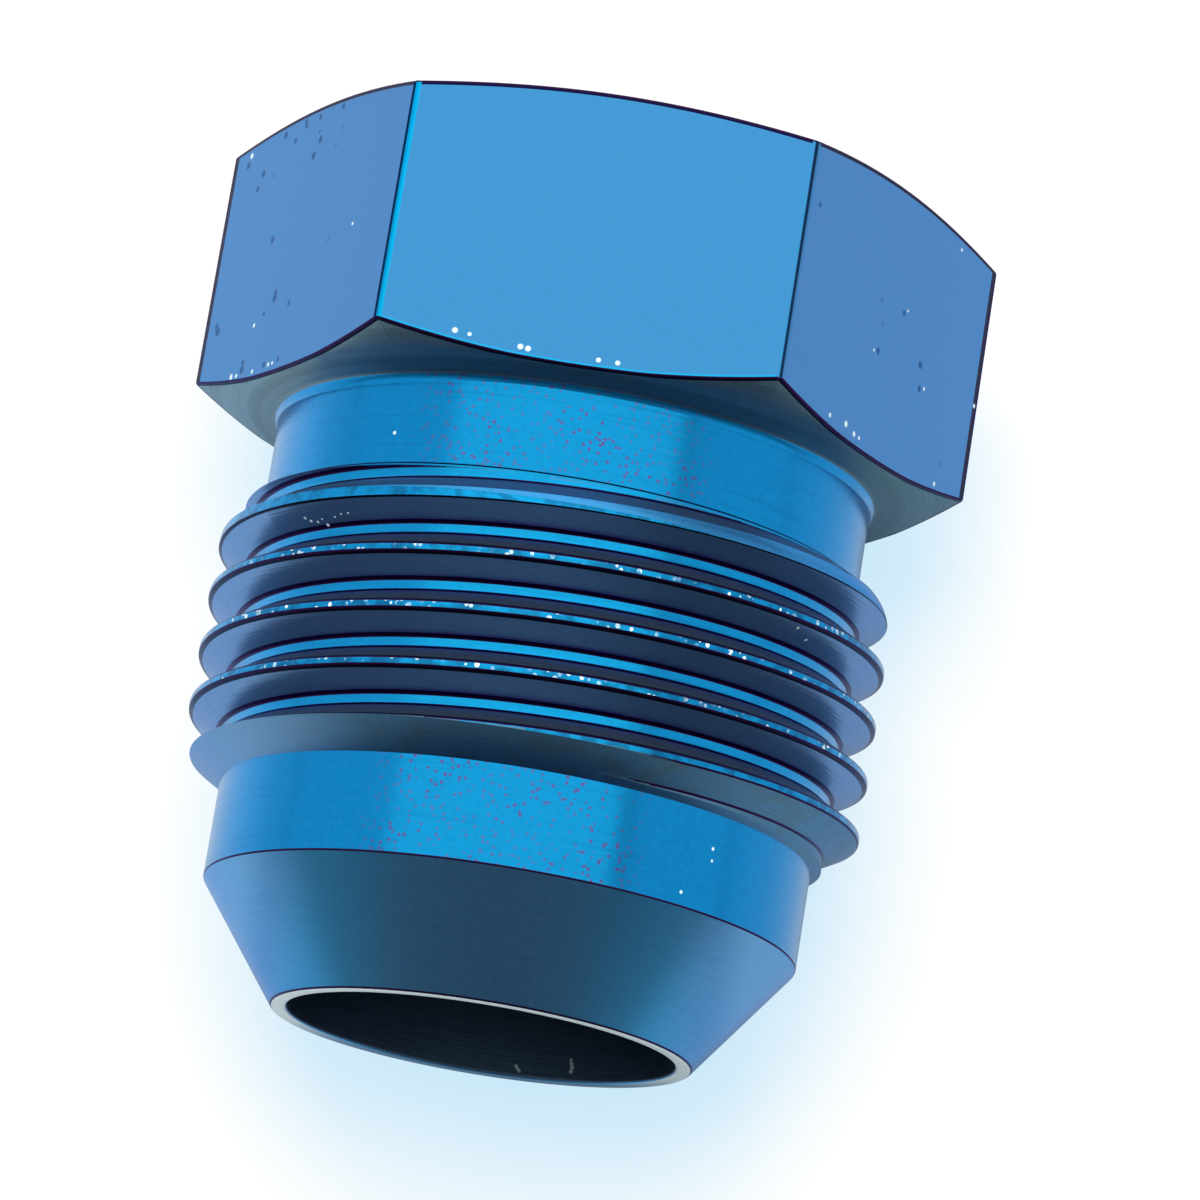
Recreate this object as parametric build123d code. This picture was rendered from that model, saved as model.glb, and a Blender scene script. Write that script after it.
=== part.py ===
from build123d import *
import math
import os

# Hexagon-headed plug that closes a 37 degree flared tube end: head, neck, threaded shank and cone,
# turned and milled from one bar, with a blind bore drilled in from the nose.
# Sizes are in millimetres and angles in degrees. The axis is Y, and Y = 0 is the flat end of the nose.
# +Y points to the head, and +Z is the flat of the hexagon that faces up when the plug lies at rest.

# Hexagon head
across_flats = 19.05
flat_edge_radius = 0.25
head_height = 8.25
top_face_inset = 0.925
top_chamfer_angle = 17.0
underside_angle = 13.0
corner_chamfer_angle = 20.0
corner_chamfer_margin = 0.18

# Neck between the head and the thread, a little below the root of the groove
neck_relief = 0.13
neck_length = 2.64
neck_corner_cut = 0.18

# Thread, 3/4 inch by 16 turns to the inch, right hand
thread_major_diameter = 19.0
thread_pitch = 25.4 / 16
thread_length = 7.93
thread_angle = 60.0
thread_depth = 0.95
crest_flat = 0.20
head_end_arc_radius = 2.5
head_end_arc_drop = 0.70
nose_end_chamfer_length = 0.95
root_height_on_top = 12.26

# Plain lead, also below the root of the groove, and the sealing cone
lead_relief = 0.25
lead_length = 2.73
cone_half_angle = 37.0
cone_depth = 2.44
nose_edge_cut = 0.10

# Blind bore
nose_wall = 0.44
bore_depth = 14.0
drill_point_angle = 118.0
mouth_chamfer = 0.10

# Radii, worked out from the crests of the thread inwards and from the flats of the head
major_radius = thread_major_diameter / 2
root_radius = major_radius - thread_depth
neck_radius = root_radius - neck_relief
lead_radius = root_radius - lead_relief
nose_radius = lead_radius - cone_depth
bore_radius = nose_radius - nose_wall
flat_radius = across_flats / 2
corner_radius = across_flats / math.sqrt(3)
top_face_radius = flat_radius - top_face_inset

# Stations along the axis, worked out from the nose
cone_length = cone_depth / math.tan(math.radians(cone_half_angle))
thread_start = cone_length + lead_length
thread_end = thread_start + thread_length
head_foot = thread_end + neck_length
head_top = head_foot + head_height

# Room by which a cutting tool or a blank runs past the metal that it shapes
clear = 1.0


def rise(run, angle):
    """Height gained over a run by a face that leans by the angle."""
    return run * math.tan(math.radians(angle))


def corner_at(section, radius, height):
    """The corner of a half section that has this radius and this height."""
    near = 0.001
    return [
        corner
        for corner in section.vertices()
        if abs(corner.X - radius) < near and abs(corner.Y - height) < near
    ]


def turned_bar():
    """The bar as it leaves the lathe, with the head still round and the thread not yet cut."""
    shoulder_radius = major_radius - head_end_arc_drop
    arc_length = math.sqrt(head_end_arc_radius**2 - (head_end_arc_radius - head_end_arc_drop) ** 2)
    arc_start = (major_radius, thread_end - arc_length)
    arc_end = (shoulder_radius, thread_end)
    chamfer_radius = flat_radius + corner_chamfer_margin
    chamfer_foot = head_foot + rise(chamfer_radius - neck_radius, underside_angle)
    rim = corner_radius + clear
    with BuildPart() as bar:
        with BuildSketch(Plane.XY) as half_section:
            with BuildLine():
                Polyline(
                    (0, head_top),
                    (0, 0),
                    (nose_radius, 0),
                    (lead_radius, cone_length),
                    (lead_radius, thread_start),
                    (major_radius, thread_start + nose_end_chamfer_length),
                    arc_start,
                )
                RadiusArc(arc_start, arc_end, -head_end_arc_radius)
                Polyline(
                    arc_end,
                    (neck_radius, thread_end),
                    (neck_radius, head_foot),
                    (chamfer_radius, chamfer_foot),
                    (rim, chamfer_foot + rise(rim - chamfer_radius, corner_chamfer_angle)),
                    (rim, head_top - rise(rim - top_face_radius, top_chamfer_angle)),
                    (top_face_radius, head_top),
                    (0, head_top),
                )
            make_face()
            chamfer(corner_at(half_section, nose_radius, 0), length=nose_edge_cut)
            chamfer(corner_at(half_section, neck_radius, head_foot), length=neck_corner_cut)
        revolve(axis=Axis.Y)
    return bar.part


def outside_the_flats():
    """The metal that is milled away round the hexagon, from halfway up the neck to above the head."""
    foot = head_foot - neck_length / 2
    with BuildPart() as ring:
        with BuildSketch(Plane(origin=(0, foot, 0), x_dir=(1, 0, 0), z_dir=(0, 1, 0))):
            Circle(corner_radius + 2 * clear)
            with BuildSketch(mode=Mode.SUBTRACT) as hexagon:
                RegularPolygon(radius=flat_radius, side_count=6, major_radius=False)
                fillet(hexagon.vertices(), radius=flat_edge_radius)
        extrude(amount=head_top + clear - foot)
    return ring.part


def thread_groove():
    """Turns of a right-hand groove, wound from over the lead to over the neck, one solid to a turn."""
    root_half = (thread_pitch - crest_flat) / 2 - rise(thread_depth, thread_angle / 2)
    mouth_half = (thread_pitch - crest_flat / 2) / 2
    mouth_radius = root_radius + (mouth_half - root_half) / rise(1, thread_angle / 2)
    with BuildSketch(Plane.XZ) as section:
        with BuildLine():
            Polyline(
                (root_radius, -root_half),
                (mouth_radius, -mouth_half),
                (mouth_radius, mouth_half),
                (root_radius, root_half),
                close=True,
            )
        make_face()
    winding = Helix(pitch=thread_pitch, height=thread_pitch, radius=root_radius)
    one_turn = sweep(section.sketch, path=winding, is_frenet=True)
    end = thread_end + neck_length / 2
    turns = math.ceil((end - thread_start + lead_length / 2) / thread_pitch)
    start = end - turns * thread_pitch
    # the groove's middle passes the given height on the +Z side
    phase = 360 * (start - root_height_on_top) / thread_pitch
    return [
        Plane(origin=(0, start + turn * thread_pitch, 0), x_dir=(0, 0, 1), z_dir=(0, 1, 0))
        * (Rot(0, 0, phase) * one_turn)
        for turn in range(turns)
    ]


def blind_bore():
    """Drilled hole with a pointed end and a broken edge at its mouth."""
    point = bore_radius / math.tan(math.radians(drill_point_angle / 2))
    with BuildPart() as drill:
        with BuildSketch(Plane.XY):
            with BuildLine():
                Polyline(
                    (0, -clear),
                    (bore_radius + mouth_chamfer + clear, -clear),
                    (bore_radius + mouth_chamfer, 0),
                    (bore_radius, mouth_chamfer),
                    (bore_radius, bore_depth),
                    (0, bore_depth + point),
                    close=True,
                )
            make_face()
        revolve(axis=Axis.Y)
    return drill.part


os.makedirs("parts", exist_ok=True)
plug = turned_bar() - outside_the_flats() - thread_groove() - blind_bore()
plug.label = "plug_body"
export_step(plug, "parts/plug_body.step")
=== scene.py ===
import math

import bmesh
import bpy
from mathutils import Matrix, Vector


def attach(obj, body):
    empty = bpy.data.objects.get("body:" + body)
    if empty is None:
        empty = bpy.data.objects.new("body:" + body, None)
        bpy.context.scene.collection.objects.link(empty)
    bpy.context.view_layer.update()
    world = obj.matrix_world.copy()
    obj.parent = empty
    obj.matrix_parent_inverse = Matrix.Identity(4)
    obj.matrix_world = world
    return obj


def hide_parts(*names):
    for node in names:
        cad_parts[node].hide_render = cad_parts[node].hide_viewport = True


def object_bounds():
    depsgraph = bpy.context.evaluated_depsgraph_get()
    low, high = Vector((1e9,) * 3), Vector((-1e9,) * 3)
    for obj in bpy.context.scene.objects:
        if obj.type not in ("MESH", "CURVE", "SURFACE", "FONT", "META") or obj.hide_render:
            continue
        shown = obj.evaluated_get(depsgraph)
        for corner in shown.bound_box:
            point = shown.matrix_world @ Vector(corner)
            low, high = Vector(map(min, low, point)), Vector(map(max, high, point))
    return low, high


# Blue anodised flare plug, lying on a flat of its hexagon on a pale table.
# The plug's axis is Y with the nose at zero, and +Z is the flat that faces up.

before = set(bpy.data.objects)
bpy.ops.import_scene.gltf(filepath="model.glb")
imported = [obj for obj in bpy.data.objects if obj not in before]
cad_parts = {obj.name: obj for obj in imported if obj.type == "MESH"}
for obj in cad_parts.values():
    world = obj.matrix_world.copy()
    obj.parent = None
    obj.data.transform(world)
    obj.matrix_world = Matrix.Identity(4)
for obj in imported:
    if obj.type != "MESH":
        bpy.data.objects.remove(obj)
cad_low, cad_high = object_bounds()

# The plug is modelled in millimetres, and the finished piece is scaled to metres
MM = 0.001
# Middle of the plug along its axis, in metres, at which the table is centred and the key lamp aims
PLUG_MIDDLE = 0.0125

# Steps round the axis of everything turned, and the distance under which points are one
ROUND_STEPS = 240
SAME_POINT = 0.0005

# Head
FLAT_RADIUS = 9.525
CORNER_RADIUS = 2 * FLAT_RADIUS / math.sqrt(3)
HEAD_HEIGHT = 8.25
TOP_FACE_INSET = 0.925
TOP_FACE_RADIUS = FLAT_RADIUS - TOP_FACE_INSET
TOP_CHAMFER_ANGLE = math.radians(17)
UNDERSIDE_ANGLE = math.radians(13)
CORNER_CHAMFER_ANGLE = math.radians(20)
CORNER_CHAMFER_MARGIN = 0.18
CHAMFER_RADIUS = FLAT_RADIUS + CORNER_CHAMFER_MARGIN
ARRIS_RADIUS = 0.25
EDGE_WEAR = 0.05

# Thread
PITCH = 25.4 / 16
MAJOR_RADIUS = 9.5
THREAD_DEPTH = 0.95
THREAD_LENGTH = 7.93
FLANK_ANGLE = math.radians(30)
CREST_WIDTH = 0.20
CREST_ROUNDING = 0.09
ROOT_ROUNDING = 0.10
SHOULDER_ARC = 0.85
SHOULDER_DROP = 0.78
SHOULDER_TAPER = 0.08
SHOULDER_TAPER_LENGTH = 0.85
LAND_RADIUS = 8.545
LAND_LENGTH = 0.12
LAND_EDGE = 0.06
THREAD_CHAMFER = 0.74
ROOT_HEIGHT_ON_TOP = 12.26

# Neck, lead, cone and bore
NECK_RELIEF = 0.13
NECK_LENGTH = 2.64
LEAD_RELIEF = 0.25
LEAD_LENGTH = 2.73
CONE_DEPTH = 2.44
NOSE_WALL = 0.44
ROOT_RADIUS = MAJOR_RADIUS - THREAD_DEPTH
NECK_RADIUS = ROOT_RADIUS - NECK_RELIEF
LEAD_RADIUS = ROOT_RADIUS - LEAD_RELIEF
NOSE_RADIUS = LEAD_RADIUS - CONE_DEPTH
BORE_RADIUS = NOSE_RADIUS - NOSE_WALL
CONE_ANGLE = math.radians(37)
BORE_DEPTH = 14
DRILL_POINT_ANGLE = math.radians(59)
NECK_ROUNDING = 0.30
NOSE_ROUNDING = 0.16
MOUTH_ROUNDING = 0.12
LEAD_ROUNDING = 0.09

# Stations along the axis
CONE_TOP = (LEAD_RADIUS - NOSE_RADIUS) / math.tan(CONE_ANGLE)
THREAD_START = CONE_TOP + LEAD_LENGTH
THREAD_END = THREAD_START + THREAD_LENGTH
LAND_END = THREAD_END + LAND_LENGTH
HEAD_FOOT = THREAD_END + NECK_LENGTH
HEAD_TOP = HEAD_FOOT + HEAD_HEIGHT
CHAMFER_FOOT = HEAD_FOOT + (CHAMFER_RADIUS - NECK_RADIUS) * math.tan(UNDERSIDE_ANGLE)

# Ends of the thread: a rounded shoulder at the neck and a chamfer at the lead
SHOULDER_TURN = math.acos(1 - SHOULDER_DROP / SHOULDER_ARC)
SHOULDER_RADIUS = MAJOR_RADIUS - SHOULDER_TAPER
SHOULDER_CENTRE = (SHOULDER_RADIUS - SHOULDER_ARC, THREAD_END - SHOULDER_ARC * math.sin(SHOULDER_TURN))
CHAMFER_SLOPE = THREAD_CHAMFER / (MAJOR_RADIUS - LEAD_RADIUS)

# Directions out of the six flats
FLATS = [Vector((math.sin(side * math.pi / 3), 0, math.cos(side * math.pi / 3))) for side in range(6)]

# The photograph's camera, and the side of the photograph in pixels
CAMERA_PLACE = Vector((7.685, -30.635, 175.658))
CAMERA_AIM = Vector((1.3137, 12.8626, 0))
CAMERA_ROLL = math.radians(9.2287)
LENS = 193.7
SENSOR = 36
PHOTO_SIDE = 1200

# Marks, picked on the photograph. Each has its distance from the left edge and from the upper
# edge in pixels, and its radius in millimetres. First those on the flats.
FLAT_DENTS = (
    (286.4, 135.3, 0.08), (296, 141, 0.06), (307, 122, 0.07), (307, 126, 0.06), (321, 117, 0.06),
    (320, 131, 0.04), (321, 139.5, 0.08), (344, 106, 0.07), (314, 156, 0.09), (249, 166, 0.08),
    (264, 174, 0.08), (258, 189.5, 0.07), (273, 240, 0.08), (275, 298, 0.09), (276, 293, 0.07),
    (289, 303, 0.06), (264, 314, 0.05), (218, 332, 0.10), (217, 327, 0.07), (242, 370, 0.09),
    (243, 363, 0.06), (264, 365, 0.07), (278, 359, 0.06), (904, 313, 0.06), (878, 351, 0.07),
    (920, 365, 0.08), (919, 389, 0.07), (820, 205, 0.05),
)
SHALLOW_DENTS = (
    (343, 127, 0.06), (336, 145, 0.06), (274, 175.5, 0.06), (328, 239.5, 0.07), (882, 300, 0.07),
    (883, 324, 0.06), (940, 464, 0.06),
)
BARE_NICKS = (
    (252, 156, 0.08), (352.5, 223.6, 0.05), (254, 325.5, 0.06), (231, 377, 0.08), (236, 376, 0.06),
    (252, 371.5, 0.06), (268, 364.5, 0.06), (272, 363, 0.05), (455, 330, 0.07), (469.6, 334, 0.05),
    (520.4, 346.5, 0.07), (528, 348.5, 0.07), (598.5, 360, 0.06), (617.7, 363, 0.06),
    (908, 311, 0.04), (874, 350, 0.04), (924, 389, 0.05), (962, 250, 0.05), (974, 406, 0.06),
    (934, 484, 0.06), (830, 415, 0.06), (846, 424, 0.08), (854, 434, 0.07), (859, 438, 0.05),
)
# A mark's soft edge makes it look smaller, so those on the flats are drawn larger
DENT_GROWTH = 1.7
NICK_GROWTH = 1.3

# Marks on what is turned
TURNED_NICKS = ((394.6, 432.7, 0.06), (713, 849, 0.06), (712, 861, 0.05), (681, 892, 0.06))
# A scratch down and up a flank on the left, and three nicks
THREAD_NICKS = (
    (305, 518, 0.06), (311, 521, 0.06), (318, 522, 0.05), (328, 525, 0.07), (322, 519, 0.04),
    (335, 517, 0.04), (341, 514, 0.04), (348, 513, 0.04), (798, 628, 0.06), (806, 640, 0.06),
    (604, 605, 0.06),
)
# Two glints inside the mouth of the bore, each a short row of spots
BORE_GLINTS = (
    (571, 1060, 0.06), (571.5, 1063.5, 0.07), (572, 1067.5, 0.08), (571, 1071.5, 0.08),
    (516, 1066, 0.06), (517.5, 1068.5, 0.06), (519, 1071, 0.06),
)

# Limits on the lean of a face, which is the part of its normal along the axis. The sealing cone
# leans by 0.60, the thread's flanks by 0.87 and the cones of the head by 0.94 or more.
UPRIGHT_LEAN = 0.05
ROUNDING_LEAN = 0.3
CONE_LEAN = 0.58
NOSE_LEAN = 0.62
FLANK_LEAN = 0.84
HEAD_CONE_LEAN = 0.93
# Distance within which a face belongs to a surface
NEAR = 0.02
# Depth under the crest of the thread that its bare spots and its dull dye reach
CREST_BAND = 0.08


# Modelling helpers

def deselect_all():
    bpy.ops.object.select_all(action="DESELECT")


def take_up(piece):
    """Makes a piece the only one selected, and the active one."""
    deselect_all()
    piece.select_set(True)
    bpy.context.view_layer.objects.active = piece


def edit_all():
    bpy.ops.object.mode_set(mode="EDIT")
    bpy.ops.mesh.select_all(action="SELECT")


def edit_done():
    bpy.ops.object.mode_set(mode="OBJECT")


def edit_edges(piece, wanted):
    """Goes into edit mode with only those edges of the piece selected that pass a test."""
    edit_all()
    bpy.ops.mesh.select_all(action="DESELECT")
    mesh = bmesh.from_edit_mesh(piece.data)
    for edge in mesh.edges:
        if wanted(edge):
            edge.select_set(True)
    bmesh.update_edit_mesh(piece.data)


def turn_all(angle):
    """Turns what is selected in edit mode about the plug's axis."""
    bpy.ops.transform.rotate(value=angle, orient_axis="Y", orient_type="GLOBAL", center_override=(0, 0, 0))


def apply_modifier(piece, kind, **settings):
    """Adds a modifier with its settings and applies it."""
    take_up(piece)
    modifier = piece.modifiers.new(kind.title(), kind)
    for name, value in settings.items():
        setattr(modifier, name, value)
    bpy.ops.object.modifier_apply(modifier=modifier.name)


def combine(piece, tool, operation):
    """Cuts, keeps or joins the piece with the tool, which is used up."""
    apply_modifier(piece, "BOOLEAN", object=tool, operation=operation, solver="EXACT")
    bpy.data.objects.remove(tool)


def rounded(corners, steps=6):
    """Points of an outline given as (radius, height, rounding) corners, each rounded by an arc."""
    points = []
    for index, (radius, height, rounding) in enumerate(corners):
        corner = Vector((radius, height))
        if rounding == 0:
            points.append(corner)
            continue
        before = (Vector(corners[index - 1][:2]) - corner).normalized()
        after = (Vector(corners[index + 1][:2]) - corner).normalized()
        half = before.angle(after) / 2
        centre = corner + (before + after).normalized() * (rounding / math.sin(half))
        start = corner + before * (rounding / math.tan(half)) - centre
        turn = start.angle_signed(corner + after * (rounding / math.tan(half)) - centre)
        for step in range(steps + 1):
            points.append(centre + Matrix.Rotation(-turn * step / steps, 2) @ start)
    return points


def drawn_line(name, points):
    """A mesh of one line through (radius, height) points, drawn from a plane merged to a vertex."""
    deselect_all()
    bpy.ops.mesh.primitive_plane_add(size=1, location=(points[0][0], points[0][1], 0))
    bpy.ops.object.transform_apply(location=True, rotation=True, scale=True)
    line = bpy.context.active_object
    line.name = name
    edit_all()
    bpy.ops.mesh.merge(type="CENTER")
    for here, there in zip(points, points[1:]):
        step = (there[0] - here[0], there[1] - here[1], 0)
        bpy.ops.mesh.extrude_vertices_move(TRANSFORM_OT_translate={"value": step})
    edit_done()
    return line


def turned(name, points):
    """A closed solid turned about Y from an outline that starts and ends on the axis."""
    piece = drawn_line(name, points)
    edit_all()
    bpy.ops.mesh.spin(steps=ROUND_STEPS, angle=2 * math.pi, center=(0, 0, 0), axis=(0, 1, 0))
    bpy.ops.mesh.select_all(action="SELECT")
    bpy.ops.mesh.remove_doubles(threshold=SAME_POINT)
    bpy.ops.mesh.normals_make_consistent(inside=False)
    edit_done()
    return piece


def rise(run, angle):
    """Height gained over a run by a face that leans by the angle."""
    return run * math.tan(angle)


# The plug's body

def turned_bar():
    """Bore, nose, cone, lead, neck and round head, with no thread on the shank yet."""
    rim = CORNER_RADIUS + 1
    # the slant from the lead's radius to the neck's is hidden in the thread
    hidden = 1
    corners = [
        (0, BORE_DEPTH + BORE_RADIUS / math.tan(DRILL_POINT_ANGLE), 0),
        (BORE_RADIUS, BORE_DEPTH, 0),
        (BORE_RADIUS, 0, MOUTH_ROUNDING),
        (NOSE_RADIUS, 0, NOSE_ROUNDING),
        (LEAD_RADIUS, CONE_TOP, LEAD_ROUNDING),
        (LEAD_RADIUS, THREAD_START + hidden, 0),
        (NECK_RADIUS, THREAD_END - hidden, 0),
        (NECK_RADIUS, HEAD_FOOT, NECK_ROUNDING),
        (CHAMFER_RADIUS, CHAMFER_FOOT, 0),
        (rim, CHAMFER_FOOT + rise(rim - CHAMFER_RADIUS, CORNER_CHAMFER_ANGLE), 0),
        (rim, HEAD_TOP - rise(rim - TOP_FACE_RADIUS, TOP_CHAMFER_ANGLE), 0),
        (TOP_FACE_RADIUS, HEAD_TOP, 0),
        (0, HEAD_TOP, 0),
    ]
    return turned("plug", rounded(corners))


def upright_cylinder(vertices, radius, height, middle):
    """A cylinder on the plug's axis."""
    deselect_all()
    bpy.ops.mesh.primitive_cylinder_add(
        vertices=vertices, radius=radius, depth=height,
        location=(0, middle, 0), rotation=(math.pi / 2, 0, 0),
    )
    bpy.ops.object.transform_apply(location=True, rotation=True, scale=True)
    return bpy.context.active_object


def outside_the_flats():
    """Ring round a hexagonal prism with rounded arrises, which mills the flats."""
    clear = 1
    foot = HEAD_FOOT - clear
    height = HEAD_TOP + clear - foot
    middle = foot + height / 2
    prism = upright_cylinder(6, CORNER_RADIUS, height + clear, middle)
    # a flat faces up, and not a corner
    if not any(face.normal.z > 0.99 for face in prism.data.polygons):
        edit_all()
        turn_all(math.pi / 6)
        edit_done()
    edit_edges(prism, lambda edge: abs(edge.verts[0].co.y - edge.verts[1].co.y) > clear)
    bpy.ops.mesh.bevel(offset=rise(ARRIS_RADIUS, math.pi / 6), segments=4, affect="EDGES")
    edit_done()
    ring = upright_cylinder(ROUND_STEPS, CORNER_RADIUS + 2 * clear, height, middle)
    combine(ring, prism, "DIFFERENCE")
    return ring


def is_worn(edge):
    """Whether an edge is one of the sharp ones between a flat and a cone of the head."""
    sharp = math.radians(35)
    radii = [math.hypot(vertex.co.x, vertex.co.z) for vertex in edge.verts]
    heights = [vertex.co.y for vertex in edge.verts]
    on_head = min(radii) > FLAT_RADIUS - 0.01 and min(heights) > HEAD_FOOT
    return on_head and edge.calc_face_angle(0) > sharp


def is_folded(edge):
    """Whether an edge is a short one on the crease of the underside, which the rounding folds over."""
    step = 2 * math.pi * CHAMFER_RADIUS / ROUND_STEPS
    on_crease = all(abs(vertex.co.y - CHAMFER_FOOT) < 0.01 for vertex in edge.verts)
    return on_crease and edge.calc_length() < 0.5 * step


def wear_head_edges(piece):
    """Rounds the edges where the flats meet the cones of the head, as handling does."""
    take_up(piece)
    edit_edges(piece, is_worn)
    bpy.ops.mesh.bevel(offset=EDGE_WEAR, segments=3, affect="EDGES", clamp_overlap=False)
    edit_done()
    # nothing stands out over the flats
    for flat in FLATS:
        for vertex in piece.data.vertices:
            proud = vertex.co.dot(flat) - FLAT_RADIUS
            if proud > 0:
                vertex.co -= flat * proud
    edit_edges(piece, is_folded)
    bpy.ops.mesh.merge(type="COLLAPSE")
    edit_done()


def threaded_rod():
    """A rod with the thread's rounded crests and roots, longer than the thread at both ends."""
    crest_half = CREST_WIDTH / 2
    foot_half = crest_half + rise(THREAD_DEPTH, FLANK_ANGLE)
    turns = 8
    turns_below = 6
    trimmed = 0.2
    # the line is drawn on the +X side, a quarter of a turn on from the top
    start = ROOT_HEIGHT_ON_TOP + PITCH / 4 - turns_below * PITCH
    corners = [
        (ROOT_RADIUS, start, 0),
        (ROOT_RADIUS, start + PITCH / 2 - foot_half, ROOT_ROUNDING),
        (MAJOR_RADIUS, start + PITCH / 2 - crest_half, CREST_ROUNDING),
        (MAJOR_RADIUS, start + PITCH / 2 + crest_half, CREST_ROUNDING),
        (ROOT_RADIUS, start + PITCH / 2 + foot_half, ROOT_ROUNDING),
        (ROOT_RADIUS, start + PITCH, 0),
    ]
    rod = drawn_line("thread", rounded(corners, steps=4))
    apply_modifier(
        rod, "SCREW", axis="Y", angle=2 * math.pi, screw_offset=PITCH, iterations=turns,
        steps=ROUND_STEPS, render_steps=ROUND_STEPS, use_merge_vertices=True, merge_threshold=SAME_POINT,
    )
    # each turn is joined to the next, and the rod's slanting ends are cut square and closed
    edit_all()
    bpy.ops.mesh.remove_doubles(threshold=SAME_POINT)
    edit_done()
    for height, side in ((start + (1 + trimmed) * PITCH, -1), (start + (turns - trimmed) * PITCH, 1)):
        edit_all()
        bpy.ops.mesh.bisect(plane_co=(0, height, 0), plane_no=(0, side, 0), clear_outer=True)
        bpy.ops.mesh.edge_face_add()
        edit_done()
    edit_all()
    bpy.ops.mesh.normals_make_consistent(inside=False)
    edit_done()
    return rod


def thread_envelope():
    """The turned ring that trims the rod: a chamfer at the lead and a rounded shoulder at the neck."""
    over = 0.4
    inner = (BORE_RADIUS + LEAD_RADIUS) / 2
    foot = THREAD_START - over * CHAMFER_SLOPE
    steps = 12
    # the taper runs past the crests by the same slope
    taper_rise = over * SHOULDER_TAPER_LENGTH / SHOULDER_TAPER
    points = [
        (inner, foot),
        (LEAD_RADIUS - over, foot),
        (MAJOR_RADIUS + over, THREAD_START + THREAD_CHAMFER + over * CHAMFER_SLOPE),
        (MAJOR_RADIUS + over, SHOULDER_CENTRE[1] - SHOULDER_TAPER_LENGTH - taper_rise),
    ]
    for step in range(steps + 1):
        turn = SHOULDER_TURN * step / steps
        across = SHOULDER_ARC * math.cos(turn)
        along = SHOULDER_ARC * math.sin(turn)
        points.append((SHOULDER_CENTRE[0] + across, SHOULDER_CENTRE[1] + along))
    points += [
        (LAND_RADIUS, THREAD_END + 0.01),
        (LAND_RADIUS, LAND_END - LAND_EDGE),
        (LAND_RADIUS - LAND_EDGE, LAND_END),
        (inner, LAND_END),
        (inner, foot),
    ]
    envelope = turned("envelope", points)
    # half a step round, so that its edges cross the thread's faces and not their edges
    edit_all()
    turn_all(math.pi / ROUND_STEPS)
    edit_done()
    return envelope


def make_plug():
    """The whole plug as one closed mesh in metres."""
    plug = turned_bar()
    combine(plug, outside_the_flats(), "DIFFERENCE")
    wear_head_edges(plug)
    thread = threaded_rod()
    combine(thread, thread_envelope(), "INTERSECT")
    combine(plug, thread, "UNION")
    plug.scale = (MM, MM, MM)
    take_up(plug)
    bpy.ops.object.transform_apply(location=True, rotation=True, scale=True)
    # the facets of an arris run into each other, and the chamfer of the head's top stays an edge
    bpy.ops.object.shade_smooth_by_angle(angle=math.radians(16))
    apply_modifier(plug, "WEIGHTED_NORMAL", keep_sharp=True, weight=50)
    return plug


# Materials

# Tint of the reflection at a glancing angle, and colours that more than one finish has
BLUE_EDGE = (0.62, 0.74, 0.95, 1)
# Painted shade: near-black lines along edges and creases
PAINTED_EDGE_SHADE = (0.01, 0.01, 0.03, 1)
# Painted shade inside dents
DENT_PAINTED_SHADE = (0.01, 0.13, 0.40, 1)
# Bare metal where the dye is worn off, also used to paint glints
BARE_METAL_AND_GLINT = (0.75, 0.90, 0.95, 1)


class Wire:
    """A value in a node tree. Arithmetic on it adds Math nodes."""

    def __init__(self, nodes, socket):
        self.nodes = nodes
        self.socket = socket

    def math(self, operation, *values):
        return self.nodes.value("ShaderNodeMath", {"operation": operation}, dict(enumerate(values)))

    def __add__(self, other):
        return self.math("ADD", self, other)

    def __radd__(self, other):
        return self.math("ADD", other, self)

    def __sub__(self, other):
        return self.math("SUBTRACT", self, other)

    def __rsub__(self, other):
        return self.math("SUBTRACT", other, self)

    def __mul__(self, other):
        return self.math("MULTIPLY", self, other)

    def __rmul__(self, other):
        return self.math("MULTIPLY", other, self)

    def __truediv__(self, other):
        return self.math("DIVIDE", self, other)

    def __rtruediv__(self, other):
        return self.math("DIVIDE", other, self)

    def __pow__(self, other):
        return self.math("POWER", self, other)

    def __gt__(self, other):
        return self.math("GREATER_THAN", self, other)

    def __lt__(self, other):
        return self.math("LESS_THAN", self, other)

    def __abs__(self):
        return self.math("ABSOLUTE", self)


class Nodes:
    """The node tree of a material or of the world."""

    def __init__(self, owner):
        owner.use_nodes = True
        self.tree = owner.node_tree
        self.tree.nodes.clear()

    def add(self, kind, settings=None, inputs=None):
        """A node with its settings made first, then its inputs, which are values or wires."""
        node = self.tree.nodes.new(kind)
        for name, value in (settings or {}).items():
            setattr(node, name, value)
        for name, value in (inputs or {}).items():
            if isinstance(value, Wire):
                self.tree.links.new(value.socket, node.inputs[name])
            else:
                node.inputs[name].default_value = value
        return node

    def value(self, kind, settings=None, inputs=None, output=0):
        """The wire from one output of a new node."""
        return Wire(self, self.add(kind, settings, inputs).outputs[output])

    def blend(self, factor, first, second):
        """Colour between two colours."""
        return self.value(
            "ShaderNodeMix", {"data_type": "RGBA"}, {0: factor, 6: first, 7: second}, output=2
        )

    def larger(self, first, second):
        """The larger of two values."""
        return self.value("ShaderNodeMath", {"operation": "MAXIMUM"}, {0: first, 1: second})

    def ease(self, value, low, high):
        """0 below low, 1 above high, and smooth between them."""
        return self.value(
            "ShaderNodeMapRange", {"interpolation_type": "SMOOTHSTEP"},
            {"Value": value, "From Min": low, "From Max": high},
        )


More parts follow.
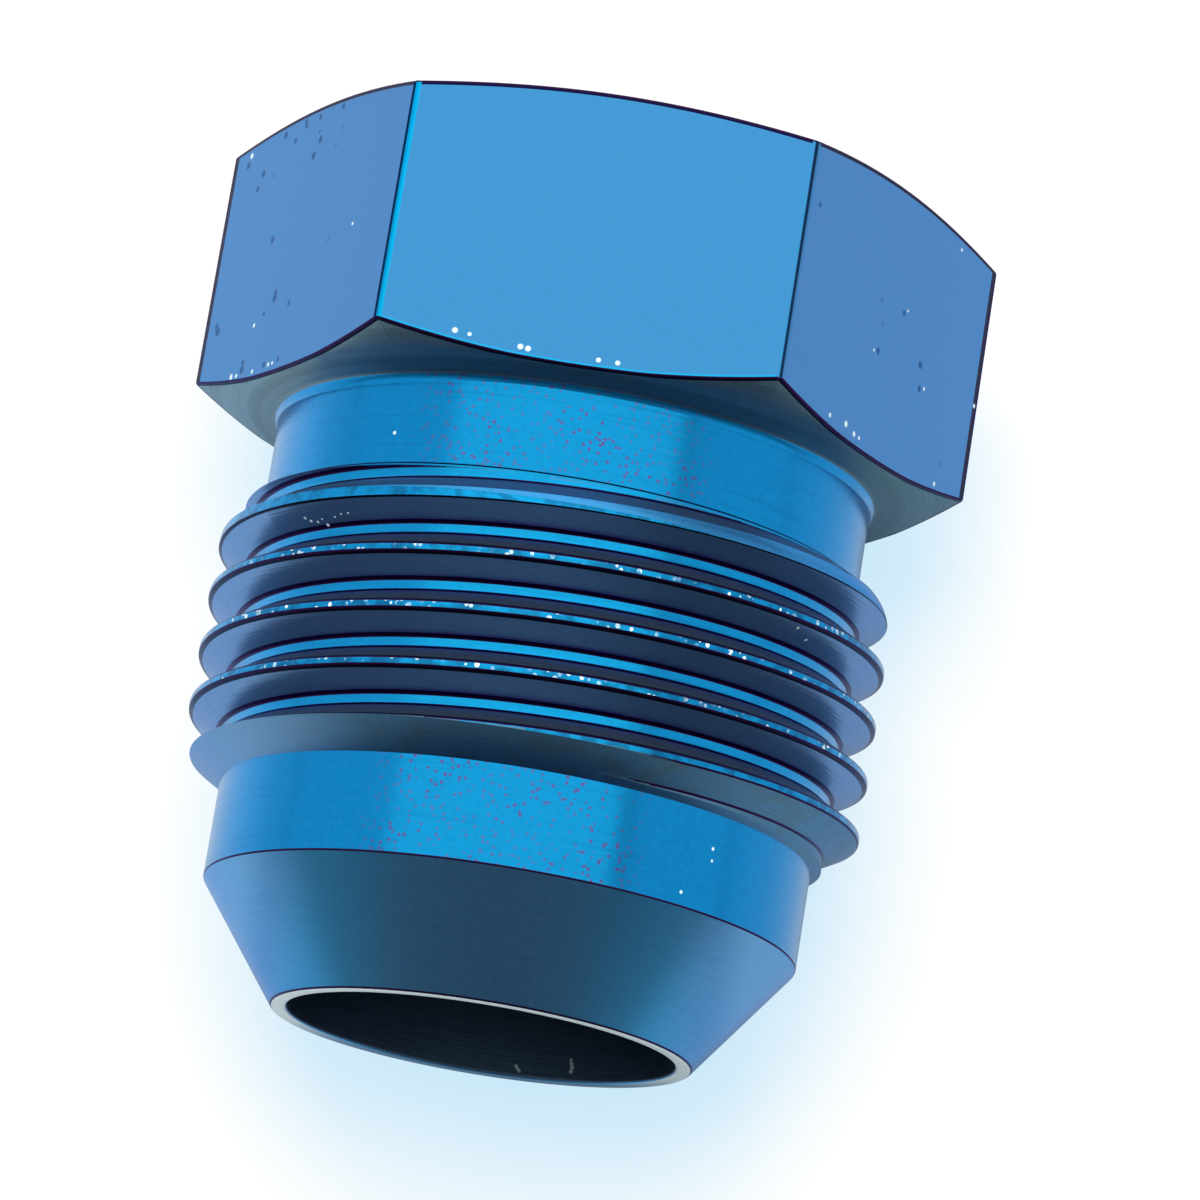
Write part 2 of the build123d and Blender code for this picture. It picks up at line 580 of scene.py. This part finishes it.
class Place:
    """Wires for a place on the plug in millimetres, and for its distance from the plug's axis."""

    def __init__(self, nodes):
        coordinates = nodes.value("ShaderNodeTexCoord", output=3)
        self.point = nodes.value(
            "ShaderNodeVectorMath", {"operation": "SCALE"}, {0: coordinates, "Scale": 1 / MM}
        )
        split = nodes.add("ShaderNodeSeparateXYZ", inputs={0: self.point})
        self.x, self.y, self.z = (Wire(nodes, output) for output in split.outputs)
        self.radius = (self.x * self.x + self.z * self.z) ** 0.5


def specks(nodes, place, per_mm, size, share):
    """Mask of small round spots, on a share of the cells of a pattern."""
    cells = nodes.add("ShaderNodeTexVoronoi", inputs={"Vector": place.point, "Scale": per_mm})
    near = Wire(nodes, cells.outputs["Distance"]) < size
    parts = nodes.add("ShaderNodeSeparateColor", inputs={0: Wire(nodes, cells.outputs["Color"])})
    return near * (Wire(nodes, parts.outputs[0]) < share)


def noise(nodes, place, per_mm, detail=2.0):
    return nodes.value(
        "ShaderNodeTexNoise", inputs={"Vector": place.point, "Scale": per_mm, "Detail": detail}
    )


def camera_turn():
    """Turn of the photograph's camera, which looks down its own -Z."""
    forward = (CAMERA_AIM - CAMERA_PLACE).normalized()
    right = forward.cross(Vector((0, 1, 0))).normalized()
    level = Matrix((right, right.cross(forward), -forward)).transposed()
    return level @ Matrix.Rotation(CAMERA_ROLL, 3, "Z")


def on_plug(marks):
    """Places and radii of marks, each found on the plug by a line of sight from the camera."""
    depsgraph = bpy.context.evaluated_depsgraph_get()
    plug = bpy.data.objects["plug"]
    middle = PHOTO_SIDE / 2
    places = []
    for across, down, size in marks:
        sight = camera_turn() @ Vector((across - middle, middle - down, -LENS / SENSOR * PHOTO_SIDE))
        hit, place, _, _ = plug.ray_cast(CAMERA_PLACE * MM, sight.normalized(), depsgraph=depsgraph)
        if hit:
            places.append((tuple(place / MM), size))
    return places


def spots(nodes, place, places, growth=1.0):
    """Mask of round spots with soft edges, each given by its place and its radius."""
    mask = 0
    for centre, size in places:
        away = nodes.value(
            "ShaderNodeVectorMath", {"operation": "DISTANCE"}, {0: place.point, 1: centre}, output="Value"
        )
        mask = nodes.larger(mask, 1 - nodes.ease(away, 0.5 * growth * size, 1.1 * growth * size))
    return mask


def purple_specks(nodes, place, base):
    """Purple pin-pricks in the dye of the upper side."""
    patches = nodes.ease(noise(nodes, place, 0.6), 0.35, 0.6)
    pricks = specks(nodes, place, per_mm=5.5, size=0.30, share=0.9)
    mask = pricks * (0.45 + 0.5 * patches) * nodes.ease(place.z, 7.2, 7.8)
    return nodes.blend(mask, base, (0.12, 0.12, 0.42, 1))


def dull_crest(nodes, place, base):
    """Duller dye on the crests than in the roots."""
    patches = nodes.ease(noise(nodes, place, 2.5), 0.4, 0.65)
    crest = place.radius > MAJOR_RADIUS - CREST_BAND
    return nodes.blend(crest * patches * 0.7, base, (0.01, 0.14, 0.34, 1))


def flank_painted_edge_shade(nodes, place, base):
    """Painted shade: dark lines along the crest and the root of a flank."""
    crest_line = place.radius > MAJOR_RADIUS - 0.13
    root_line = place.radius < ROOT_RADIUS + 0.12
    base = nodes.blend(crest_line, base, PAINTED_EDGE_SHADE)
    return nodes.blend(root_line, base, (0.05, 0.01, 0.10, 1))


def olive_stain_and_painted_highlight(nodes, place, base):
    """Uneven olive tint, where the dye is thin, and a painted highlight: paler blue at the left end."""
    tint = nodes.ease(noise(nodes, place, 1.3, detail=4.0), 0.45, 0.7)
    # Painted highlight: paler blue on the left
    painted_highlight_on_left = 1 - nodes.ease(place.x, -8.0, -3.5)
    base = nodes.blend(tint * 0.3, base, (0.13, 0.18, 0.12, 1))
    return nodes.blend(painted_highlight_on_left * 0.8, base, (0.24, 0.46, 0.76, 1))


def underside_rings_and_painted_shade(nodes, place, base):
    """Broad rings round the axis, with painted shade: darker by the neck and on the right, and a dark line
    along the flats.
    """
    along = nodes.value("ShaderNodeCombineXYZ", inputs={0: place.radius * 2.2, 1: place.y * 2.2})
    wave = nodes.value("ShaderNodeTexNoise", inputs={"Vector": along, "Scale": 1.0, "Detail": 3.0})
    base = nodes.blend(nodes.ease(wave, 0.5, 0.62) * 0.5, base, (0.14, 0.22, 0.22, 1))
    # Painted shade: darker in the crease by the neck and on the right
    painted_shade_by_neck = 1 - nodes.ease(place.radius, 8.7, 9.6)
    base = nodes.blend(painted_shade_by_neck * 0.3, base, (0.09, 0.12, 0.14, 1))
    painted_shade_on_right = nodes.ease(place.x, 5.0, 7.5)
    base = nodes.blend(painted_shade_on_right * 0.6, base, (0.06, 0.16, 0.19, 1))
    # Painted shade: a dark line along the edge with the flats
    slant = place.x * math.sin(math.pi / 3)
    half = place.z * 0.5
    across = nodes.larger(abs(place.z), nodes.larger(abs(half + slant), abs(half - slant)))
    return nodes.blend(across > FLAT_RADIUS - 0.12, base, PAINTED_EDGE_SHADE)


def cone_painted_reflections(nodes, place, base):
    """Painted reflections round the cone: bluer dye between its top and its sides, and paler dye on the
    sides.
    """
    off_top = abs(place.x)
    sides = nodes.ease(off_top, 1.5, 4.0) * (1 - nodes.ease(off_top, 4.5, 6.3))
    base = nodes.blend(sides * 0.6, base, (0.04, 0.42, 0.83, 1))
    return nodes.blend(nodes.ease(off_top, 6.0, 7.2) * 0.8, base, (0.22, 0.52, 0.89, 1))


def painted_highlight_above(nodes, place, base):
    """Painted highlight: near-white metal on the upper side of the nose, and dye on the lower."""
    return nodes.blend(nodes.ease(place.z, -4.5, -1.0), (0.10, 0.28, 0.50, 1), base)


def flat_dents_and_painted_light(nodes, place, base):
    """Painted light on the flats: lighter dye on the right, darker on the left, shade in dents and
    outlines, and a highlight along the lower edge of the upper flat.
    """
    # Painted light and shade: a lighter copy of the dye on the right side flats, a darker one on the left
    base = nodes.blend(place.x > CORNER_RADIUS / 2, base, (0.09, 0.33, 0.76, 1))
    base = nodes.blend(place.x < -CORNER_RADIUS / 2, base, (0.072, 0.30, 0.70, 1))
    # Painted shade inside the dents; the deep ones are also bumped
    base = nodes.blend(spots(nodes, place, on_plug(FLAT_DENTS), DENT_GROWTH), base, DENT_PAINTED_SHADE)
    shallow = spots(nodes, place, on_plug(SHALLOW_DENTS), DENT_GROWTH)
    base = nodes.blend(shallow * 0.35, base, DENT_PAINTED_SHADE)
    # Painted shade: dark outlines along the top edge and the corners
    top_edge = HEAD_TOP - rise(place.radius - TOP_FACE_RADIUS, TOP_CHAMFER_ANGLE)
    painted_outline = nodes.larger(place.y > top_edge - 0.12, abs(place.x) > CORNER_RADIUS - 0.17)
    base = nodes.blend(painted_outline, base, (0.01, 0.01, 0.06, 1))
    # Painted highlight: a bright band along the lower edge of the upper flat
    underside = HEAD_FOOT + rise(place.radius - NECK_RADIUS, UNDERSIDE_ANGLE)
    corner_chamfer = CHAMFER_FOOT + rise(place.radius - CHAMFER_RADIUS, CORNER_CHAMFER_ANGLE)
    low_edge = nodes.larger(underside, corner_chamfer)
    bright = 1 - nodes.ease(place.y - low_edge, 0.07, 0.12)
    return nodes.blend(bright * (place.z > FLAT_RADIUS - 0.05), base, (0.01, 0.50, 1.0, 1))


def arris_painted_light_and_shade(nodes, place, base):
    """Painted light and shade on the corners: dark lines down all of the outer ones and one side of each
    inner one, and darker dye on the right.
    """
    corner = CORNER_RADIUS / 2
    outer = place.x < 0.002 - corner
    inner = (place.x > corner - 0.06) * (place.x < corner + 0.02)
    far = (place.x > CORNER_RADIUS - 0.5) * (place.z > 0.06)
    # Painted shade: darker copies of the dye on the right-hand corners
    base = nodes.blend(place.x > 0, base, (0.06, 0.32, 0.73, 1))
    base = nodes.blend(place.x > corner, base, (0.10, 0.34, 0.70, 1))
    return nodes.blend(nodes.larger(nodes.larger(outer, inner), far), base, (0.01, 0.05, 0.14, 1))


def crest_wear(nodes, place):
    """Bare spots in runs along the crests of the middle turns."""
    crest = (place.radius > MAJOR_RADIUS - CREST_BAND) * (place.y < 12.3) * (place.y > 7.5)
    runs = nodes.ease(noise(nodes, place, 0.7), 0.35, 0.55)
    brightness = nodes.ease(noise(nodes, place, 4.0), 0.35, 0.6)
    return specks(nodes, place, per_mm=4.5, size=0.32, share=0.95) * crest * runs * brightness


def flat_nicks(nodes, place):
    return spots(nodes, place, on_plug(BARE_NICKS), NICK_GROWTH)


def turned_nicks(nodes, place):
    return spots(nodes, place, on_plug(TURNED_NICKS))


def thread_nicks(nodes, place):
    return spots(nodes, place, on_plug(THREAD_NICKS))


# Painted highlights: glints in the bore, drawn as patches of bare metal
def bore_glints(nodes, place):
    return spots(nodes, place, on_plug(BORE_GLINTS)) * 0.5


def anodised(
    name, colour, roughness, lines=1.0, grain=0.3, edge_tint=(1, 1, 1, 1), metal=1.0,
    marks=(), wear_and_glints=None, dents=None,
):
    """Dyed anodised aluminium. Lines are the tool's marks round the axis, and grain is a fine mottle.

    Marks are functions that change the dye, some with painted light and shade, and another says where the
    metal shows through: where the dye is worn off, and in the bore where glints are painted.
    """
    material = bpy.data.materials.new(name)
    nodes = Nodes(material)
    place = Place(nodes)
    # tool marks are rings, long round the axis and a few hundredths of a millimetre wide
    ring_place = nodes.value("ShaderNodeCombineXYZ", inputs={
        0: place.x / place.radius * 2,
        1: (place.y + place.radius) * 14,
        2: place.z / place.radius * 2,
    })
    rings = nodes.value("ShaderNodeTexNoise", inputs={"Vector": ring_place, "Scale": 1.0, "Detail": 3.0})
    mottle = noise(nodes, place, 6.0, detail=4.0)
    height = rings * lines + mottle * grain
    if dents:
        # a dent is a few times as deep as a tool mark
        height = height - spots(nodes, place, on_plug(dents), DENT_GROWTH) * 4
    bump = nodes.value(
        "ShaderNodeBump", inputs={"Strength": 0.2, "Distance": 0.02 * MM, "Height": height},
    )
    darker = tuple(0.7 * level for level in colour[:3]) + (1,)
    base = nodes.blend(nodes.ease(mottle, 0.35, 0.75) * grain, colour, darker)
    base = nodes.blend(nodes.ease(rings, 0.5, 0.8) * lines * 0.5, base, darker)
    for mark in marks:
        base = mark(nodes, place, base)
    if wear_and_glints:
        mask = wear_and_glints(nodes, place)
        base = nodes.blend(mask, base, BARE_METAL_AND_GLINT)
        metal = metal - mask
    surface = nodes.value("ShaderNodeBsdfPrincipled", inputs={
        "Base Color": base,
        "Metallic": metal,
        "Roughness": roughness + (rings - 0.5) * 0.1 * lines,
        "Specular Tint": edge_tint,
        "Normal": bump,
    })
    nodes.add("ShaderNodeOutputMaterial", inputs={0: surface})
    return material


def thread_finish(x, y, z, lean):
    """Name of the finish on the thread. Lean is the part of the normal that points to the head."""
    radius = math.hypot(x, z)
    first_turn = y - PITCH * math.atan2(x, z) / math.tau < THREAD_START + THREAD_CHAMFER
    from_centre = math.hypot(radius - SHOULDER_CENTRE[0], y - SHOULDER_CENTRE[1])
    if y > SHOULDER_CENTRE[1] and abs(from_centre - SHOULDER_ARC) < NEAR:
        return "shoulder"
    if abs((radius - LEAD_RADIUS) * CHAMFER_SLOPE - (y - THREAD_START)) < NEAR:
        return "chamfer"
    if lean > FLANK_LEAN:
        return "back_flank"
    if lean < -FLANK_LEAN:
        return "chamfer" if first_turn else "flank"
    if abs(lean) > ROUNDING_LEAN:
        return "edge"
    return "chamfer" if y < THREAD_START + THREAD_CHAMFER and radius < MAJOR_RADIUS - 0.1 else "crest"


def finish_of(x, y, z, normal):
    """Name of the finish at a place on the plug, in millimetres, on a face with this normal."""
    radius = math.hypot(x, z)
    lean = normal.y
    if radius < BORE_RADIUS + NEAR and y < HEAD_TOP - 1:
        return "bore"
    if y < 0.07 and lean < -NOSE_LEAN:
        return "edge" if lean > -0.9 and radius > NOSE_RADIUS - 0.1 else "lip"
    if y < CONE_TOP + 0.05 and lean < -UPRIGHT_LEAN:
        return "cone" if lean < -CONE_LEAN else "edge"
    core = LEAD_RADIUS if y < THREAD_END else NECK_RADIUS
    if THREAD_START - 0.01 < y < LAND_END + 0.01 and radius > core + 0.01:
        return thread_finish(x, y, z, lean)
    if y < HEAD_FOOT - 0.01:
        return "turned"
    if abs(lean) > HEAD_CONE_LEAN or radius < FLAT_RADIUS - 0.3:
        return "underside" if y < HEAD_FOOT + HEAD_HEIGHT / 2 else "top"
    if abs(lean) > UPRIGHT_LEAN:
        return "edge"
    return "flat" if max(normal.dot(flat) for flat in FLATS) > 0.995 else "arris"


def paint_plug(plug):
    """Gives each face of the plug its finish: what its tool left, and on some, painted light and shade."""
    finishes = {
        "turned": anodised(
            "turned_surface", (0.009, 0.336, 0.80, 1), 0.2, marks=[purple_specks], wear_and_glints=turned_nicks
        ),
        "crest": anodised(
            "thread_crest_and_root", (0.01, 0.38, 0.85, 1), 0.22, marks=[dull_crest], wear_and_glints=crest_wear
        ),
        # Painted shade: the narrow roundings between surfaces are near black
        "edge": anodised("edge_painted_shade", (0.04, 0.01, 0.08, 1), 0.3, edge_tint=BLUE_EDGE),
        "flank": anodised(
            "thread_flank", (0.20, 0.38, 0.68, 1), 0.25, edge_tint=BLUE_EDGE,
            marks=[flank_painted_edge_shade], wear_and_glints=thread_nicks,
        ),
        # Painted shade: the flank facing the head gets a dark, duller copy of the flank's dye
        "back_flank": anodised(
            "thread_back_flank_painted_shade", (0.12, 0.15, 0.19, 1), 0.3, edge_tint=BLUE_EDGE, metal=0.84,
            marks=[flank_painted_edge_shade],
        ),
        "shoulder": anodised("thread_shoulder", (0.06, 0.34, 0.78, 1), 0.25, edge_tint=BLUE_EDGE),
        "chamfer": anodised(
            "thread_chamfer", (0.11, 0.27, 0.44, 1), 0.3, edge_tint=BLUE_EDGE, marks=[olive_stain_and_painted_highlight]
        ),
        "cone": anodised(
            "sealing_cone", (0.13, 0.40, 0.78, 1), 0.25, edge_tint=BLUE_EDGE, marks=[cone_painted_reflections]
        ),
        # Painted highlight: the lip is near-white on its upper side and dyed below
        "lip": anodised("lip_painted_highlight", (0.84, 0.98, 1.0, 1), 0.3, marks=[painted_highlight_above]),
        "flat": anodised(
            "milled_flat", (0.065, 0.32, 0.73, 1), 0.35, lines=0.1, grain=0.1,
            marks=[flat_dents_and_painted_light], wear_and_glints=flat_nicks, dents=FLAT_DENTS,
        ),
        "arris": anodised(
            "hexagon_arris", (0.004, 0.46, 0.95, 1), 0.25, lines=0.1, grain=0.1,
            edge_tint=(0.15, 0.20, 0.5, 1), marks=[arris_painted_light_and_shade],
        ),
        "underside": anodised(
            "head_underside", (0.28, 0.42, 0.46, 1), 0.4, edge_tint=BLUE_EDGE, marks=[underside_rings_and_painted_shade]
        ),
        "top": anodised("head_top", (0.07, 0.35, 0.80, 1), 0.3, edge_tint=BLUE_EDGE),
        # Painted shade: the bore is near black inside, with painted glints
        "bore": anodised("bore_painted_shade_and_glints", (0.05, 0.09, 0.16, 1), 0.4, wear_and_glints=bore_glints),
    }
    for material in finishes.values():
        plug.data.materials.append(material)
    index_of = {name: index for index, name in enumerate(finishes)}
    for face in plug.data.polygons:
        x, y, z = (value / MM for value in face.center)
        face.material_index = index_of[finish_of(x, y, z, face.normal)]


# Table, light and camera

def make_table():
    """A pale table under the plug, white to the camera, on which a shadow looks bluish."""
    deselect_all()
    bpy.ops.mesh.primitive_plane_add(size=1.2, location=(0, PLUG_MIDDLE, cad_low[2]))
    bpy.ops.object.transform_apply(location=True, rotation=True, scale=True)
    table = bpy.context.active_object
    table.name = "table"
    material = bpy.data.materials.new("table_top")
    nodes = Nodes(material)
    lit = nodes.value("ShaderNodeBsdfDiffuse", inputs={"Color": (0.435, 0.213, 0.061, 1)})
    glow = nodes.value("ShaderNodeEmission", inputs={"Color": (0.49, 0.75, 0.928, 1), "Strength": 1.0})
    white = nodes.value("ShaderNodeAddShader", inputs={0: lit, 1: glow})
    # in the metal the table is paler close by than far off, a painted pool of light, and darkest in front,
    # a painted shade
    place = Place(nodes)
    across = place.x + 12
    along = place.y - 22
    away = nodes.ease((across * across + along * along) ** 0.5, 8, 48)
    pale = nodes.blend(away, (0.55, 0.58, 0.61, 1), (0.41, 0.43, 0.46, 1))
    pale = nodes.blend(nodes.ease(place.y, -70, 10), (0.14, 0.14, 0.14, 1), pale)
    plain = nodes.value("ShaderNodeBsdfDiffuse", inputs={"Color": pale})
    path = nodes.add("ShaderNodeLightPath")
    glossy = Wire(nodes, path.outputs["Is Glossy Ray"])
    seen = Wire(nodes, path.outputs["Is Camera Ray"]) + glossy * 0.1
    nodes.add("ShaderNodeOutputMaterial", inputs={
        0: nodes.value("ShaderNodeMixShader", inputs={0: seen, 1: plain, 2: white})
    })
    table.data.materials.append(material)


def area_light(name, location, aim, size, level, colour=(1, 1, 1)):
    """A soft box of one brightness all over, where 1 is white."""
    data = bpy.data.lights.new(name, "AREA")
    data.shape = "RECTANGLE"
    data.size, data.size_y = size
    data.color = colour
    data.energy = level * math.pi * size[0] * size[1]
    light = bpy.data.objects.new(name, data)
    bpy.context.scene.collection.objects.link(light)
    light.location = location
    light.rotation_euler = (Vector(aim) - Vector(location)).to_track_quat("-Z", "Y").to_euler()
    return light


def make_lights():
    """A wide soft box overhead, and a key lamp for the shadow, which the metal doesn't mirror."""
    area_light("soft_box", (-0.03, 0.07, 0.40), (-0.03, 0.07, 0), (0.76, 0.36), 0.61, (1.0, 1.15, 0.93))
    key = area_light("key", (-0.03, 0.11, 0.50), (0, PLUG_MIDDLE, 0), (0.22, 0.22), 15.0)
    key.visible_glossy = False


def make_world():
    """Studio walls, white to the camera. The metal sees them dark in front, middling at both sides,
    dimmer high up beside the soft box, and pale behind, less so on the right.
    """
    world = bpy.data.worlds.new("studio")
    bpy.context.scene.world = world
    nodes = Nodes(world)
    direction = nodes.add("ShaderNodeSeparateXYZ", inputs={0: nodes.value("ShaderNodeTexCoord", output=0)})
    x, y, z = (Wire(nodes, output) for output in direction.outputs)
    off_front = nodes.ease(y, -0.95, -0.15)
    behind = nodes.ease(y, 0.3, 0.55)
    backdrop = 0.95 - 0.6 * nodes.ease(x, 0.1, 0.7)
    gap = 0.6 * nodes.ease(z, 0.64, 0.71)
    sides = 0.12 + 0.56 * off_front * (1 - gap)
    walls = sides + behind * (backdrop - sides)
    path = nodes.add("ShaderNodeLightPath")
    seen = Wire(nodes, path.outputs["Is Camera Ray"])
    strength = walls + seen * (1 - walls)
    background = nodes.value("ShaderNodeBackground", inputs={"Color": (1, 1, 1, 1), "Strength": strength})
    nodes.add("ShaderNodeOutputWorld", inputs={0: background})


def make_camera():
    """The photograph's camera: steeply above the table, a little to the nose side, and turned."""
    data = bpy.data.cameras.new("camera")
    data.sensor_width = SENSOR
    data.lens = LENS
    data.clip_start = 0.01
    camera = bpy.data.objects.new("camera", data)
    bpy.context.scene.collection.objects.link(camera)
    camera.matrix_world = Matrix.Translation(CAMERA_PLACE * MM) @ camera_turn().to_4x4()
    bpy.context.scene.camera = camera


plug = make_plug()
paint_plug(plug)
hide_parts("plug_body")
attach(plug, "root")
make_table()
make_world()
make_lights()
make_camera()
bpy.context.scene.view_settings.view_transform = "Standard"
